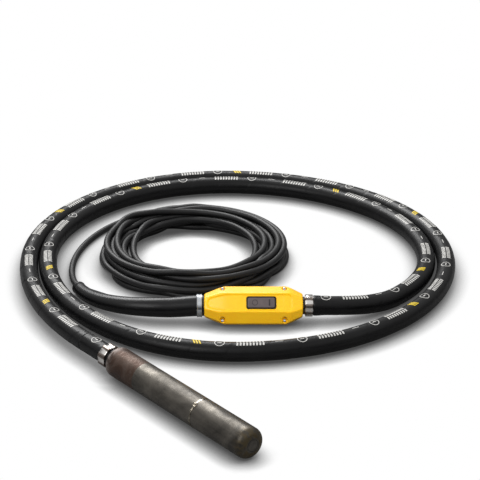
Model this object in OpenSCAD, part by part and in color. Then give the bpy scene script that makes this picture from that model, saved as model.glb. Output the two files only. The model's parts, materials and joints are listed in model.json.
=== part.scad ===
// Internal (poker) concrete vibrator, laid out on the floor: a motor-in-head vibrating head, a rubber
// protection hose in two turns, a switch housing, and a coiled supply cable.
// +Z is up and the floor is z = 0. The origin is the centre of the object's footprint on the floor.

/* [Head] */
// Outside diameter of the vibrating head
head_d = 58; // [54:1:60]
// Length of the head, from its rear face to its tip
head_len = 398; // [395:1:440]
// Length of the rear connector, the dark section next to the hose
connector_len = 87; // [80:1:87]
// Distance from the rear face to the weld between tube and tip section
weld_x = 257; // [252:1:262]
// Radius of the rounded tip edge
tip_round = 15; // [10:1:16]
// Direction of the head on the floor, seen from above
head_turn = -50.8; // [-56:0.2:-46]

/* [Hose] */
// Outside diameter of the protection hose
hose_d = 38; // [34:1:38.5]
// Bore of the protection hose
hose_bore = 25.6; // [25.4:0.1:27]
// Straight length of hose behind the head
hose_lead = 98; // [98:1:110]
// Turn radius of the gentle bend between the straight and the loop
hose_bend_r = 648; // [620:1:680]
// Distance between neighbouring turns
hose_pitch = 39; // [39:0.5:42]

/* [Switch housing] */
// Length of the housing
case_len = 193; // [190:1:204]
// Width of the housing, across the switch
case_w = 75; // [72:1:80]
// Depth of the housing, from its switch face to its back
case_t = 60; // [58:1:64]
// Width that each lengthwise chamfer takes off
case_chamfer = 19; // [17:1:20]
// Angle between a lengthwise chamfer and the switch face, and how far the housing is turned as it lies
case_turn = 52; // [48:1:54]
// Wall thickness of both shells
case_wall = 3.5; // [3:0.1:4]
// Distance of the switch from the middle of the housing
switch_x = 15; // [10:1:18]

/* [Cable] */
// Outside diameter of the supply cable
cable_d = 13; // [11:0.5:13]
// Turn radius of the outer coil turns
coil_r = 184; // [180:1:188]
// Full turns in each layer of the coil
coil_turns = 4; // [3:1:4]
// Layers in the coil, an odd number so that the cable ends inside the coil
coil_layers = 3; // [1:2:3]

/* [Hidden] */
$fn = 48;

gap = 0.1;          // room between pieces that are pushed together
run_gap = 0.05;     // radial room of a turning fit
far = 200;          // longer than any cut needs

head_r = head_d / 2;
hose_r = hose_d / 2;
cable_r = cable_d / 2;

// ---- centre lines -------------------------------------------------------------------------
// A station is [x, y, z, heading]. A run is [turn radius, angle, rise]: a positive radius turns
// left, and a radius of 0 is a straight whose angle is its length.
function ease(t) = t * t * (3 - 2 * t);
function ahead(s, run, t) =
    let (h = s[3], k = run[1] * t, r = run[0], z = s[2] + run[2] * ease(t))
    r == 0
    ? [s[0] + k * cos(h), s[1] + k * sin(h), z, h]
    : let (g = h + sign(r) * k) [s[0] + r * (sin(g) - sin(h)), s[1] - r * (cos(g) - cos(h)), z, g];
function steps(run, arc_step) = max(1, round(run[1] / (run[0] == 0 ? 20 : arc_step)));
function stations(s, runs, arc_step, i = 0) =
    i == len(runs)
    ? [s]
    : let (n = steps(runs[i], arc_step))
      concat([for (k = [0 : n - 1]) ahead(s, runs[i], k / n)],
             stations(ahead(s, runs[i], 1), runs, arc_step, i + 1));
function end_of(s, runs, i = 0) = i == len(runs) ? s : end_of(ahead(s, runs[i], 1), runs, i + 1);
function place_of(s) = [s[0], s[1], s[2]];
function unit(v) = v / norm(v);

// The hose starts at the flex point behind the head, makes two clockwise turns, and runs into the
// right end of the switch housing.
flex_back = 72;                     // from the head's rear face back to the flex point
outer_turn = [415, 405, 480, 400];  // turn radii of the outer half loop, one per 45 degrees
cross_turn = [412, 443, 363, 465];  // turn radii where the outer loop becomes the inner one
end_turn = [272, 219];              // turn radii of the last bend, towards the housing
case_straight = 25.5;                 // straight hose at the housing

case_axis_z = (case_w / 2 - case_chamfer) * sin(case_turn) + case_t / 2 * cos(case_turn);
lead_angle = head_turn + 180 - 90;
hose_runs = concat(
    [[0, hose_lead - flex_back, 0],
     [-hose_bend_r, lead_angle, hose_r - head_r]],
    [for (r = outer_turn) [-r, 45, 0]],
    [for (r = cross_turn) [-r, 45, 0]],
    [for (r = outer_turn) [-(r - hose_pitch), 45, 0]],
    [for (i = [0 : 1]) [-end_turn[i], 45, i == 0 ? 0 : case_axis_z - hose_r]],
    [[0, case_straight, 0]]
);
function along_head(d) = [d * cos(head_turn), d * sin(head_turn)];

// Everything is first laid out from the head's rear face, and then moved so that the origin is the
// centre of the footprint.
flex_raw = -along_head(flex_back);
hose_raw = [flex_raw[0], flex_raw[1], head_r, head_turn + 180];
left_raw = end_of(hose_raw, [for (i = [0 : 1]) hose_runs[i]]);
back_raw = end_of(hose_raw, [for (i = [0 : 3]) hose_runs[i]]);
right_raw = end_of(hose_raw, [for (i = [0 : 5]) hose_runs[i]]);
tip_y_raw = along_head(head_len - tip_round)[1]
          - (head_r - tip_round) * cos(head_turn) - tip_round;
origin_raw = [(left_raw[0] + right_raw[0]) / 2, (back_raw[1] + hose_r + tip_y_raw) / 2, 0, 0];

head_pos = [-origin_raw[0], -origin_raw[1], head_r];
hose_start = hose_raw - origin_raw;
hose_line = stations(hose_start, hose_runs, 9);
hose_end = end_of(hose_start, hose_runs);

ferrule_len = 15.6;
neck_len = 4;
case_pos = [hose_end[0] - neck_len - gap - case_len / 2, hose_end[1], case_axis_z];

// The sleeve and the cable leave the left end of the housing. The cable then climbs to the top of
// the coil, winds inwards and outwards by layers down to the floor, and ends inside the coil.
sleeve_d = 42;          // at the housing
sleeve_tip_d = 26;      // at the free end
sleeve_tip_z = 14;
cable_inside = 60;      // cable inside the housing and its end
sleeve_runs = [[0, 34, 0], [0, 38, -5], [-195, 68, sleeve_tip_z - case_axis_z + 5]];
coil_step = 7.25;       // change of turn radius at each half turn
coil_rise = cable_d + 1;
coil_top = (coil_layers - 1) * coil_rise;
halves = 2 * coil_turns;
function layer_r(layer, i) =
    layer % 2 == 0 ? coil_r - coil_step * i : coil_r - coil_step * (halves - i);
approach_runs = [
    [-300, 22, cable_r - sleeve_tip_z],
    [-348, 36.7, 0],
    [-150, 53.3, coil_top / 2],
    [-255, 25, coil_top / 2],
    [-255, 65, 0],
    [-175, 90, 0],
    [-198.5, 90, 0]
];
layer_runs = [for (layer = [0 : coil_layers - 1], i = [0 : halves - 1])
    [-layer_r(layer, i), 180, i == 0 && layer > 0 ? -coil_rise : 0]];
end_runs = [[-114, 180, 0], [-100, 90, 0], [0, 20, 0]];
cable_start = [case_pos[0] - case_len / 2 - neck_len - gap + cable_inside, case_pos[1],
               case_axis_z, 180];
cable_runs = concat([[0, cable_inside, 0]], sleeve_runs, approach_runs, layer_runs, end_runs);
cable_end = end_of(cable_start, cable_runs);
plug_end = 60;          // straight free end of the cable, where a plug is fitted

// ---- shared shapes ------------------------------------------------------------------------
// Closed solid along a line of stations. outer and inner are radii, one per station; an empty
// inner makes it solid.
module sweep(line, outer, inner = [], sides = 16) {
    m = len(line);
    hollow = len(inner) > 0;
    function across(i) =
        let (t = unit(place_of(line[min(i + 1, m - 1)]) - place_of(line[max(i - 1, 0)])),
             side = [-sin(line[i][3]), cos(line[i][3]), 0])
        [side, cross(t, side)];
    function ring(i, r) =
        let (w = across(i))
        [for (k = [0 : sides - 1])
            place_of(line[i]) + r * (cos(360 * k / sides) * w[0] + sin(360 * k / sides) * w[1])];
    function skin(base, flip) = [for (i = [0 : m - 2], k = [0 : sides - 1], half = [0, 1])
        let (k2 = (k + 1) % sides,
             a = base + i * sides + k,
             b = base + i * sides + k2,
             c = base + (i + 1) * sides + k2,
             d = base + (i + 1) * sides + k,
             face = half == 0 ? [a, c, b] : [a, d, c])
        flip ? [face[0], face[2], face[1]] : face];
    rings = concat([for (i = [0 : m - 1]) each ring(i, outer[i])],
                   hollow ? [for (i = [0 : m - 1]) each ring(i, inner[i])] : []);
    last = (m - 1) * sides;
    inside = m * sides;
    caps = hollow
        ? [for (k = [0 : sides - 1], side = [0, 1])
            let (k2 = (k + 1) % sides)
            side == 0
            ? [k, k2, inside + k2, inside + k]
            : [last + k2, last + k, inside + last + k, inside + last + k2]]
        : [[for (k = [0 : sides - 1]) k], [for (k = [sides - 1 : -1 : 0]) last + k]];
    faces = concat(skin(0, false), hollow ? skin(inside, true) : [], caps);
    polyhedron(points = rings, faces = faces, convexity = 10);
}

// Tube, or solid rod when inner is 0, from x0 to x1 along X.
module tube(x0, x1, outer, inner = 0) {
    translate([x0, 0, 0]) rotate([0, 90, 0]) difference() {
        cylinder(r = outer, h = x1 - x0);
        if (inner > 0) translate([0, 0, -1]) cylinder(r = inner, h = x1 - x0 + 2);
    }
}

// Puts a shape, drawn along +X from the head's rear face, in its place.
module in_head() {
    translate(head_pos) rotate([0, 0, head_turn]) children();
}

// Puts a shape, drawn along X round the housing's centre with +Z out of the switch face, in its
// place: the housing lies on one of its rear chamfers.
module in_case() {
    translate(case_pos) rotate([case_turn, 0, 0]) children();
}

// Octagonal crimped ring along X.
module crimp_ring(x0, x1, flats, inner) {
    translate([x0, 0, 0]) rotate([0, 90, 0]) difference() {
        rotate([0, 0, 22.5]) cylinder(r = flats / 2 / cos(22.5), h = x1 - x0, $fn = 8);
        translate([0, 0, -1]) cylinder(r = inner, h = x1 - x0 + 2, $fn = 48);
    }
}

// ---- head: casing -------------------------------------------------------------------------
tube_bore_r = head_r - 6;
tip_bore_r = head_r - 8;
lead_bore_r = 10;
spigot_len = 12;
o_ring_x = connector_len + 6;
o_ring_r = 1;
nipple_r = 12.4;
nipple_bore_r = 9;
nipple_in = 15;         // depth of the nipple in the connector
tip_spigot = 6;
tip_floor = 16;         // thickness of the tip's end wall
plug_r = 14;
weld_w = 2;             // width of the weld seam
blob_turn = 34;         // where the seam's blob sits, from the top towards the front
relief_len = 6;         // band of the tip section, from the weld's middle, that is ground back
relief_deep = 0.4;

module head_tube() {
    color("dimgray") in_head() tube(connector_len, weld_x - weld_w / 2 - gap, head_r, tube_bore_r);
}

module rear_connector() {
    rear_round = 10;
    color("saddlebrown") in_head() difference() {
        union() {
            rotate([0, 90, 0]) rotate_extrude($fn = 64) difference() {
                square([head_r, connector_len - gap]);
                difference() {
                    translate([head_r - rear_round, -1]) square(rear_round + 1);
                    translate([head_r - rear_round, rear_round]) circle(rear_round, $fn = 48);
                    translate([0, rear_round]) square([head_r, rear_round]);
                }
            }
            tube(connector_len - 1, connector_len + spigot_len, tube_bore_r - gap);
        }
        tube(-1, connector_len + spigot_len + 1, lead_bore_r);
        tube(-1, nipple_in + gap, nipple_r + gap);
        tube(o_ring_x - o_ring_r, o_ring_x + o_ring_r, tube_bore_r + 1, tube_bore_r - 2 * o_ring_r - gap);
    }
}

module connector_o_ring() {
    color("black") in_head() translate([o_ring_x, 0, 0]) rotate([0, 90, 0])
        rotate_extrude() translate([tube_bore_r - o_ring_r - gap / 2, 0]) circle(o_ring_r - gap / 2);
}

module tip_section() {
    tip_x0 = weld_x + weld_w / 2 + gap;
    color("gray") in_head() difference() {
        union() {
            translate([tip_x0, 0, 0]) rotate([0, 90, 0]) rotate_extrude($fn = 64) difference() {
                square([head_r, head_len - tip_x0]);
                translate([head_r - tip_round, head_len - tip_x0 - tip_round]) difference() {
                    square(tip_round + 1);
                    circle(tip_round, $fn = 64);
                }
            }
            tube(weld_x - tip_spigot, tip_x0 + 1, tube_bore_r - gap);
        }
        tube(tip_x0 - 1, weld_x + relief_len, far, head_r - relief_deep);
        tube(weld_x - tip_spigot - 1, head_len - tip_floor, tip_bore_r);
        tube(head_len - 6, head_len + 1, plug_r + gap);
    }
}

module tip_plug() {
    color("darkolivegreen") in_head() difference() {
        tube(head_len - 6 + gap, head_len - 0.5, plug_r);
        tube(head_len - 2, head_len, plug_r - 2.5, plug_r - 3.2);
    }
}

// Seam between the tube and the tip section, with the blob where the welder stopped.
module weld_bead() {
    blob_r = 5;
    blob_high = 1.5;
    color("silver") in_head() difference() {
        union() {
            tube(weld_x - weld_w / 2, weld_x + weld_w / 2, head_r - 0.3, tube_bore_r);
            rotate([blob_turn, 0, 0]) translate([weld_x, 0, head_r + blob_high - blob_r])
                sphere(r = blob_r, $fn = 32);
        }
        tube(weld_x - 2 * blob_r, weld_x - weld_w / 2, head_r + gap / 2);
        tube(weld_x + weld_w / 2, weld_x + 2 * blob_r, head_r + gap / 2);
        tube(weld_x - far / 2, weld_x + far / 2, tube_bore_r);
    }
}

// ---- head: motor and shaft ----------------------------------------------------------------
shaft_r = 8;
shaft_x0 = 106;
shaft_x1 = 379;
stator_x0 = 140;
stator_x1 = 230;
rotor_r = 15.5;
slot_count = 12;
slot_w = 3;
slot_in = 17;
slot_out = 20.5;
turn_len = 12;          // length of the winding's end turns
brg_w = 14;
brg_rear_x = 110;
brg_front_x = 362;
brg_inner_r = 11;       // outside of the inner ring
brg_outer_r = 17;       // inside of the outer ring
roller_r = 3 - run_gap;
roller_path_r = (brg_inner_r + brg_outer_r) / 2;
roller_count = 12;
circlip_w = 1.5;

module slots(inner, outer, x0, x1, room) {
    for (i = [0 : slot_count - 1])
        rotate([360 * i / slot_count, 0, 0])
            translate([x0, -slot_w / 2 + room, inner + room])
                cube([x1 - x0, slot_w - 2 * room, outer - inner - 2 * room]);
}

module stator_core() {
    color("slategray") in_head() difference() {
        tube(stator_x0, stator_x1, tube_bore_r - gap, rotor_r + 0.5);
        slots(slot_in, slot_out, stator_x0 - 1, stator_x1 + 1, 0);
    }
}

module stator_windings() {
    color("peru") in_head() {
        slots(slot_in, slot_out, stator_x0 - 2, stator_x1 + 2, gap);
        tube(stator_x0 - gap - turn_len, stator_x0 - gap, slot_out, slot_in);
        tube(stator_x1 + gap, stator_x1 + gap + turn_len, slot_out, slot_in);
    }
}

module rotor_shaft() {
    color("lightgray") in_head() difference() {
        tube(shaft_x0, shaft_x1, shaft_r);
        for (x = [brg_rear_x + brg_w + gap, brg_front_x - gap - circlip_w])
            tube(x, x + circlip_w, shaft_r + 1, shaft_r - 0.6);
    }
}

module shaft_circlips() {
    color("gray") in_head()
        for (x = [brg_rear_x + brg_w + gap, brg_front_x - gap - circlip_w])
            difference() {
                tube(x + 0.1, x + circlip_w - 0.1, shaft_r + 1.6, shaft_r - 0.5);
                translate([x - 1, -2, 0]) cube([circlip_w + 2, 4, far]);
            }
}

module rotor_core() {
    color("steelblue") in_head() tube(stator_x0, stator_x1, rotor_r, shaft_r + run_gap);
}

module eccentric_weight() {
    weight_x0 = 262;
    weight_len = 80;
    color("darkgoldenrod") in_head() difference() {
        tube(weight_x0, weight_x0 + weight_len, tip_bore_r - 2, shaft_r + run_gap);
        translate([weight_x0 - 1, -far / 2, 3]) cube([weight_len + 2, far, far]);
    }
}

module outer_ring(x, seat_r) {
    tube(x, x + brg_w, seat_r - gap, brg_outer_r);
}

module inner_ring(x) {
    tube(x, x + brg_w, brg_inner_r, shaft_r + run_gap);
}

module rollers(x) {
    for (i = [0 : roller_count - 1])
        rotate([360 * i / roller_count, 0, 0])
            translate([x + 2, 0, roller_path_r]) rotate([0, 90, 0])
                cylinder(r = roller_r, h = brg_w - 4, $fn = 24);
}

module cage(x) {
    difference() {
        tube(x + 0.5, x + brg_w - 0.5, roller_path_r + 1.5, roller_path_r - 1.5);
        for (i = [0 : roller_count - 1])
            rotate([360 * i / roller_count, 0, 0])
                translate([x + 1.8, 0, roller_path_r]) rotate([0, 90, 0])
                    cylinder(r = roller_r + run_gap, h = brg_w - 3.6, $fn = 24);
    }
}

module rear_outer_ring() { color("silver") in_head() outer_ring(brg_rear_x, tube_bore_r); }
module rear_inner_ring() { color("silver") in_head() inner_ring(brg_rear_x); }
module rear_rollers() { color("gainsboro") in_head() rollers(brg_rear_x); }
module rear_cage() { color("goldenrod") in_head() cage(brg_rear_x); }
module front_outer_ring() { color("silver") in_head() outer_ring(brg_front_x, tip_bore_r); }
module front_inner_ring() { color("silver") in_head() inner_ring(brg_front_x); }
module front_rollers() { color("gainsboro") in_head() rollers(brg_front_x); }
module front_cage() { color("goldenrod") in_head() cage(brg_front_x); }

// ---- hose and its ends --------------------------------------------------------------------
module head_nipple() {
    color("silver") in_head() tube(-44, nipple_in, nipple_r, nipple_bore_r);
}

module head_ferrule() {
    color("whitesmoke") in_head() crimp_ring(-29.5, -10, 44, hose_r + gap);
}

// End of the hose that moves with the head. Its socket turns on the ball of the long hose.
module hose_head_end() {
    color("black") in_head() difference() {
        tube(-flex_back + hose_r * 0.55, -0.5, hose_r, hose_bore / 2);
        translate([-flex_back, 0, 0]) sphere(r = hose_r + run_gap, $fn = 64);
    }
}

module head_lead() {
    color("darkslategray") in_head() tube(-flex_back + hose_r + 2, 108 - 4, 5);
}

// The long hose, with a hollow ball at the flex point.
module protection_hose() {
    ball = [40, 27, 14];    // angles of the rings that round off the ball
    ball_line = [for (b = ball) ahead(hose_start, [0, -hose_r * sin(b), 0], 1)];
    line = concat(ball_line, hose_line);
    outer = concat([for (b = ball) hose_r * cos(b)], [for (s = hose_line) hose_r]);
    color("black") sweep(line, outer, [for (s = line) hose_bore / 2]);
}

module hose_lead_cable() {
    m = len(hose_line);
    color("darkslategray") sweep(hose_line, [for (i = [1 : m]) 5], [], 6);
}

module case_nipple() {
    color("silver") in_case() {
        tube(case_len / 2 - 20, case_len / 2 + case_straight, nipple_r, nipple_bore_r);
        tube(case_len / 2 - case_wall - 6, case_len / 2 - case_wall - gap, 16, nipple_r - 1);
    }
}

module right_neck_ring() {
    color("black") in_case() tube(case_len / 2 + gap, case_len / 2 + neck_len, 17.5, nipple_r + gap);
}

module case_ferrule() {
    color("whitesmoke") in_case()
        crimp_ring(case_len / 2 + neck_len + gap, case_len / 2 + neck_len + gap + ferrule_len,
                   40.4, hose_r + gap);
}

// ---- switch housing -----------------------------------------------------------------------
end_w = 44;             // width and depth of the housing at its ends
end_t = 42;
end_x = 43;             // across the lengthwise chamfers at the ends
chamfer_less = 7;       // how much shorter the tapers are along the chamfers
left_taper = 39;        // length of the tapers at the two ends
right_taper = 32;
screw_x = 60.5;
screw_y = 31.3;
screw_seat = 5;         // height of the screw heads' seats
screw_end = 8;          // depth of the screws' tips
case_right_bore = nipple_r + gap;
case_left_bore = 14;
bezel_l = 57.5;
bezel_w = 24.4;
bezel_wall = 1.5;
panel_deep = 1.5;

// Outline of the housing along X, as half widths or half depths. less shortens the tapers.
function case_outline(full, end, less) = [
    [-case_len / 2, -end / 2], [-case_len / 2 + left_taper - less, -full / 2],
    [case_len / 2 - right_taper + less, -full / 2], [case_len / 2, -end / 2],
    [case_len / 2, end / 2], [case_len / 2 - right_taper + less, full / 2],
    [-case_len / 2 + left_taper - less, full / 2], [-case_len / 2, end / 2]
];

// Endless slab with that outline, turned about X.
module outline_slab(full, end, less, turn, wall) {
    rotate([turn, 0, 0]) translate([0, 0, -far / 2]) linear_extrude(far)
        polygon([for (p = case_outline(full, end, less))
            [p[0] - sign(p[0]) * wall, p[1] - sign(p[1]) * wall]]);
}

// Solid housing, or its hollow when wall is positive.
module case_solid(wall = 0) {
    intersection() {
        outline_slab(case_w, end_w, 0, 0, wall);
        outline_slab(case_t, end_t, 0, 90, wall);
        outline_slab(2 * case_axis_z, end_x, chamfer_less, 90 - case_turn, wall);
        outline_slab(2 * case_axis_z, end_x, chamfer_less, case_turn - 90, wall);
    }
}

module at_screws() {
    for (x = [-screw_x, screw_x], y = [-screw_y, screw_y])
        translate([x, y, 0]) children();
}

module rounded_slab(l, w, h, r) {
    translate([-l / 2 + r, -w / 2, 0]) cube([l - 2 * r, w, h]);
    translate([-l / 2, -w / 2 + r, 0]) cube([l, w - 2 * r, h]);
    for (x = [-1, 1], y = [-1, 1])
        translate([x * (l / 2 - r), y * (w / 2 - r), 0]) cylinder(r = r, h = h, $fn = 24);
}

module end_bores() {
    tube(0, case_len / 2 + 1, case_right_bore);
    tube(-case_len / 2 - 1, 0, case_left_bore + gap);
}

module front_shell() {
    screw_hole_r = 2.2;
    notch_r = 5.2;
    color("gold") in_case() difference() {
        union() {
            difference() {
                case_solid();
                case_solid(case_wall);
            }
            intersection() {
                case_solid();
                at_screws() cylinder(r = notch_r + 2, h = far);
            }
        }
        translate([0, 0, -far / 2]) cube([2 * far, far, far], center = true);
        end_bores();
        at_screws() translate([0, 0, -1]) cylinder(r = screw_hole_r, h = far, $fn = 24);
        at_screws() translate([0, 0, screw_seat]) cylinder(r = notch_r, h = far, $fn = 32);
        translate([switch_x, 0, case_t / 2 - 8]) rounded_slab(bezel_l + 2 * gap, bezel_w + 2 * gap, 10, 3);
        translate([0, 0, case_t / 2 - panel_deep]) linear_extrude(far)
            polygon([[-90, 0], [-62, -14.5], [64, -16], [74, -8], [74, 8], [64, 16], [-62, 14.5]]);
    }
}

module rear_shell() {
    boss_r = 6;
    color("gold") in_case() difference() {
        union() {
            difference() {
                case_solid();
                case_solid(case_wall);
            }
            intersection() {
                case_solid();
                at_screws() translate([0, 0, -20]) cylinder(r = boss_r, h = 20);
            }
        }
        translate([0, 0, far / 2 - 1]) cube([2 * far, far, far], center = true);
        end_bores();
        at_screws() translate([0, 0, -screw_end - 0.5]) cylinder(r = 2.05, h = 40, $fn = 24);
    }
}

module case_gasket() {
    color("dimgray") in_case() difference() {
        intersection() {
            case_solid(0.8);
            translate([0, 0, -0.5]) cube([2 * far, far, 1 - 2 * gap], center = true);
        }
        difference() {
            case_solid(case_wall - 0.8);
            at_screws() cylinder(r = 6, h = 10, center = true);
        }
        end_bores();
        at_screws() cylinder(r = 2.2, h = 10, center = true, $fn = 24);
    }
}

module case_screws() {
    color("silver") in_case() at_screws() difference() {
        union() {
            translate([0, 0, screw_seat + gap]) cylinder(r = 3.5, h = 4, $fn = 32);
            translate([0, 0, -screw_end]) cylinder(r = 2, h = screw_end + screw_seat + 1, $fn = 24);
        }
        translate([0, 0, screw_seat + 2]) cylinder(r = 1.7, h = 10, $fn = 6);
    }
}

// ---- switch -------------------------------------------------------------------------------
face_z = case_t / 2 - panel_deep;
rocker_l = 52.8;
rocker_w = 20.6;
rocker_top = 0.6;       // how far the rocker stands above the panel
pivot_z = face_z - 5;
pin_r = 1.5;

module in_switch() {
    in_case() translate([switch_x, 0, 0]) children();
}

module cross_pin(r, l) {
    translate([0, l / 2, pivot_z]) rotate([90, 0, 0]) cylinder(r = r, h = l, $fn = 32);
}

module switch_bezel() {
    color([0.08, 0.08, 0.08]) in_switch() difference() {
        translate([0, 0, face_z - 7]) rounded_slab(bezel_l, bezel_w, 8, 3);
        translate([0, 0, face_z - 8])
            rounded_slab(bezel_l - 2 * bezel_wall, bezel_w - 2 * bezel_wall, 10, 2);
        cross_pin(pin_r + run_gap, far);
    }
}

module switch_rocker() {
    mark_deep = 0.4;
    color([0.47, 0.42, 0.42]) in_switch() difference() {
        union() {
            translate([0, 0, pivot_z]) rounded_slab(rocker_l, rocker_w, face_z + rocker_top - pivot_z, 1.8);
            cross_pin(3.5, rocker_w);
        }
        cross_pin(pin_r + run_gap, far);
        translate([-12.3, 0, face_z + rocker_top - mark_deep]) difference() {
            cylinder(r = 5.8, h = 5);
            translate([0, 0, -1]) cylinder(r = 4.5, h = 7);
        }
        translate([14.5, -6.3, face_z + rocker_top - mark_deep]) cube([3, 12.6, 5]);
    }
}

module rocker_pin() {
    color("silver") in_switch() cross_pin(pin_r, bezel_w - 2 * gap);
}

module switch_body() {
    color("dimgray") in_switch() difference() {
        translate([-23, -11, face_z - 24]) cube([46, 22, 15]);
        for (x = [-15, 0, 15])
            translate([x - 3.1, -0.6, face_z - 25]) cube([6.2, 1.2, 4]);
    }
}

module switch_terminals() {
    color("gold") in_switch()
        for (x = [-15, 0, 15])
            translate([x - 3, -0.5, face_z - 31]) cube([6, 1, 9]);
}

// ---- cable end of the housing -------------------------------------------------------------
module left_neck_ring() {
    color("black") in_case()
        tube(-case_len / 2 - neck_len, -case_len / 2 - gap, 20.5, case_left_bore + gap);
}

module clamp_band() {
    color("silver") in_case()
        tube(-case_len / 2 - neck_len - gap - 10, -case_len / 2 - neck_len - gap,
             23, sleeve_d / 2 + gap);
}

module sleeve_nipple() {
    color("gray") in_case() {
        tube(-case_len / 2 - 34, -case_len / 2 + 14, case_left_bore, 9);
        tube(-case_len / 2 + case_wall + gap, -case_len / 2 + case_wall + 6, 17, case_left_bore - 1);
    }
}

module strain_relief() {
    color("dimgray") in_case() for (s = [-1, 1])
        difference() {
            translate([-68, -16, s > 0 ? 0.3 : -10.3]) cube([16, 32, 10]);
            tube(-70, -50, cable_r + gap);
            for (y = [-11.5, 11.5])
                translate([-60, y, -20]) cylinder(r = 1.6, h = 40, $fn = 24);
        }
}

module bend_sleeve() {
    line = stations([cable_start[0] - cable_inside, cable_start[1], cable_start[2], 180],
                    sleeve_runs, 8.5);
    last = len(line) - 1;
    near_bore = case_left_bore + 1;
    tip_bore = cable_r + 1.5;
    color("black") sweep(
        line,
        [for (i = [0 : last]) sleeve_d / 2 + (sleeve_tip_d - sleeve_d) / 2 * i / last],
        [for (i = [0 : last]) near_bore + (tip_bore - near_bore) * max(0, i - 2) / (last - 2)],
        20);
}

module supply_cable() {
    line = stations(cable_start, cable_runs, 15);
    color([0.12, 0.12, 0.12]) {
        sweep(line, [for (s = line) cable_r - gap], [], 8);
        translate(place_of(cable_end)) rotate([0, 0, cable_end[3]])
            tube(-5, plug_end - 5, cable_r);
    }
}

head_tube();
rear_connector();
tip_section();
weld_bead();
tip_plug();
connector_o_ring();
stator_core();
stator_windings();
rotor_shaft();
rotor_core();
eccentric_weight();
rear_outer_ring();
rear_inner_ring();
rear_rollers();
rear_cage();
front_outer_ring();
front_inner_ring();
front_rollers();
front_cage();
shaft_circlips();
head_nipple();
head_ferrule();
hose_head_end();
head_lead();
protection_hose();
hose_lead_cable();
case_nipple();
case_ferrule();
right_neck_ring();
front_shell();
rear_shell();
case_gasket();
case_screws();
switch_bezel();
switch_body();
switch_rocker();
rocker_pin();
switch_terminals();
left_neck_ring();
clamp_band();
sleeve_nipple();
strain_relief();
bend_sleeve();
supply_cable();
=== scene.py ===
"""Looks of the internal concrete vibrator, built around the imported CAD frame.

Lengths are millimetres and become metres when a mesh is made; materials, lights and the camera
are in metres. A centre line is a list of runs, as in the CAD:
[turn radius (+ left, - right, 0 straight), degrees or length, rise].
"""

import json
import math

import bpy
import numpy as np
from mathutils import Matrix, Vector


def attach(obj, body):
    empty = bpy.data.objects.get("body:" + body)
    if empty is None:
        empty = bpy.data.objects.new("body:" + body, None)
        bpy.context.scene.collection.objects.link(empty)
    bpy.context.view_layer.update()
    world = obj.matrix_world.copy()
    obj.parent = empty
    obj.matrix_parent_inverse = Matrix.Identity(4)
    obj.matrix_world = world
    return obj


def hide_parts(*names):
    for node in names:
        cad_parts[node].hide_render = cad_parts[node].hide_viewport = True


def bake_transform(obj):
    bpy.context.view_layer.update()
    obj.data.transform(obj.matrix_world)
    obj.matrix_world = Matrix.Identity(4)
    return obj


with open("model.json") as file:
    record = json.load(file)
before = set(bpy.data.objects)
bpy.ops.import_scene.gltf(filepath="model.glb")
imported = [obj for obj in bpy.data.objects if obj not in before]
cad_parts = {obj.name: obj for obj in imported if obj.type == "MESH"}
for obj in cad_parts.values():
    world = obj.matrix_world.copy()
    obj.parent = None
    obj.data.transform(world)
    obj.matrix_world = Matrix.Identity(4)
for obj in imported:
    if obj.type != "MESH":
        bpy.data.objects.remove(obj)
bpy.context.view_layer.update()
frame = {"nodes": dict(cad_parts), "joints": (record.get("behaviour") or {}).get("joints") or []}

MM = 0.001
TAU = 2 * math.pi
joints = {j["name"]: j for j in frame["joints"]}
rng = np.random.default_rng(7)


# ---- dimensions shared with the CAD ----
HEAD_R = 29
WELD_X = 257
HEAD_LEN = 398
HOSE_R = 19
FLEX_BACK = 72
HOSE_LEAD = 98
HOSE_BEND_R = 648
HOSE_PITCH = 39
ARC = 45                # degrees of each arc of the hose's loop
OUTER_TURN = (415, 405, 480, 400)
CROSS_TURN = (412, 443, 363, 465)
END_TURN = (272, 219)
CASE_STRAIGHT = 25.5
CASE_LEN = 193
CASE_HALF_W = 37.5
CASE_HALF_T = 30
CHAMFER_TURN = 52       # between a lengthwise chamfer and the switch face, in degrees
NECK_LEN = 4
NECK_GAP = 0.1
FIT_GAP = 0.12          # between hose or sleeve and the metal round it
FERRULE_LEN = 15.6
BAND_LEN = 10
SWITCH_X = 15
PIVOT_Z = 23.5
SCREW_X = 60.5
SCREW_Y = 31.3
SCREW_SEAT = 5
SCREW_END = 8
SLEEVE_R = 21
SLEEVE_TIP_R = 13
SLEEVE_TIP_Z = 14
CABLE_R = 6.5
CABLE_INSIDE = 60


# ---- places, from the frame ----
def to_mm(place):
    return np.array(place, float) / MM


head_rear = to_mm(joints["rotor_spin"]["pos_m"])
head_dir = np.array(joints["rotor_spin"]["axis"])
flex = to_mm(joints["head_flex"]["pos_m"])
tilt_axis = joints["switch_rocker_tilt"]["axis"]
switch_out = np.array([0, -tilt_axis[2], tilt_axis[1]])
case_pos = to_mm(joints["switch_rocker_tilt"]["pos_m"]) - PIVOT_Z * switch_out - [SWITCH_X, 0, 0]
cable_tip = np.array([-160, 93.55, CABLE_R])
case_axes = np.array([(1, 0, 0), np.cross(switch_out, (1, 0, 0)), switch_out])


def in_case(solid):
    """Takes a solid from the housing's own frame, with Z out of its front, to its place."""
    points, faces, uvs = solid
    return points @ case_axes + case_pos, faces, uvs


# ---- materials ----
looks = {}


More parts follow.
